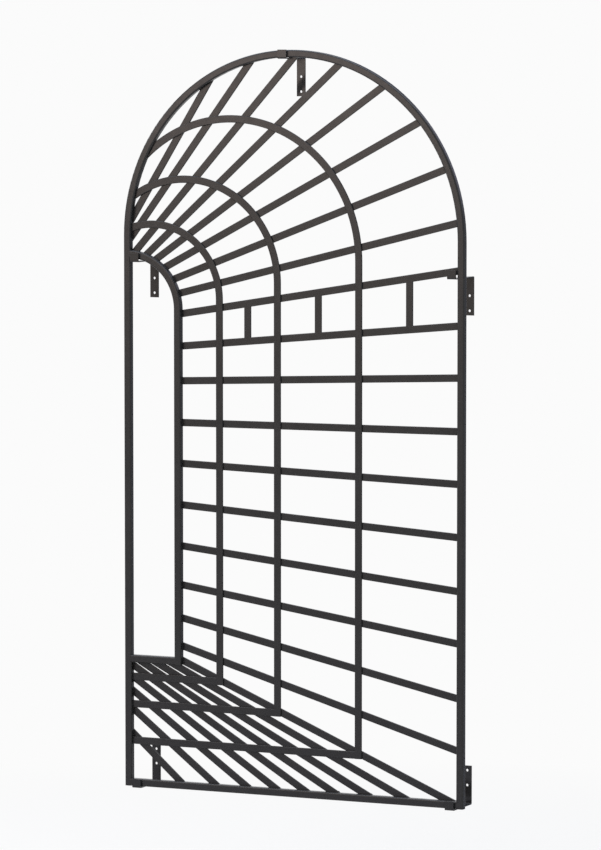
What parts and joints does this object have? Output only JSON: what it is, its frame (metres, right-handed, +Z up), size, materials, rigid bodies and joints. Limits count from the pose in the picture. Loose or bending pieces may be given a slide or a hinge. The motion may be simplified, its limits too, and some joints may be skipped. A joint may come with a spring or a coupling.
{
  "type": "wall trellis",
  "caption": "Arched steel wall trellis drawing a vaulted passage with a doorway in perspective, held off the wall by bent strip hooks.",
  "frame": {"origin": "on the wall, midway between the two screw holes of the hook at the crest of the arch", "axes": "+X to the right along the panel, +Y from the front into the wall, +Z up"},
  "size_m": [1, 0.125, 2.0045],
  "materials": {
    "panel_coat": "satin powder coat",
    "hook_coat": "satin powder coat"
  },
  "bodies": {
    "root": {"left_stile": "panel_coat", "right_stile": "panel_coat", "outer_arch": "panel_coat", "bottom_rail": "panel_coat", "doorway_post": "panel_coat", "doorway_arch": "panel_coat", "doorway_sill": "panel_coat", "inner_rib_arch": "panel_coat", "inner_rib_leg": "panel_coat", "inner_rib_floor_bar": "panel_coat", "middle_rib_arch": "panel_coat", "middle_rib_leg": "panel_coat", "middle_rib_floor_bar": "panel_coat", "outer_rib_arch": "panel_coat", "outer_rib_leg": "panel_coat", "outer_rib_floor_bar": "panel_coat", "vault_ray_1": "panel_coat", "vault_ray_2": "panel_coat", "vault_ray_3": "panel_coat", "vault_ray_4": "panel_coat", "vault_ray_5": "panel_coat", "vault_ray_6": "panel_coat", "vault_ray_7": "panel_coat", "vault_ray_8": "panel_coat", "upper_band_rail": "panel_coat", "lower_band_rail": "panel_coat", "band_post_1": "panel_coat", "band_post_2": "panel_coat", "band_post_3": "panel_coat", "wall_rail_1": "panel_coat", "wall_rail_2": "panel_coat", "wall_rail_3": "panel_coat", "wall_rail_4": "panel_coat", "wall_rail_5": "panel_coat", "wall_rail_6": "panel_coat", "wall_rail_7": "panel_coat", "wall_rail_8": "panel_coat", "corner_rail": "panel_coat", "floor_slat_1": "panel_coat", "floor_slat_2": "panel_coat", "floor_slat_3": "panel_coat", "floor_slat_4": "panel_coat", "floor_slat_5": "panel_coat", "floor_slat_6": "panel_coat", "floor_slat_7": "panel_coat", "floor_slat_8": "panel_coat", "hook_crest": "hook_coat", "hook_upper_left": "hook_coat", "hook_upper_right": "hook_coat", "hook_lower_left": "hook_coat", "hook_lower_right": "hook_coat"}
  },
  "joints": []
}
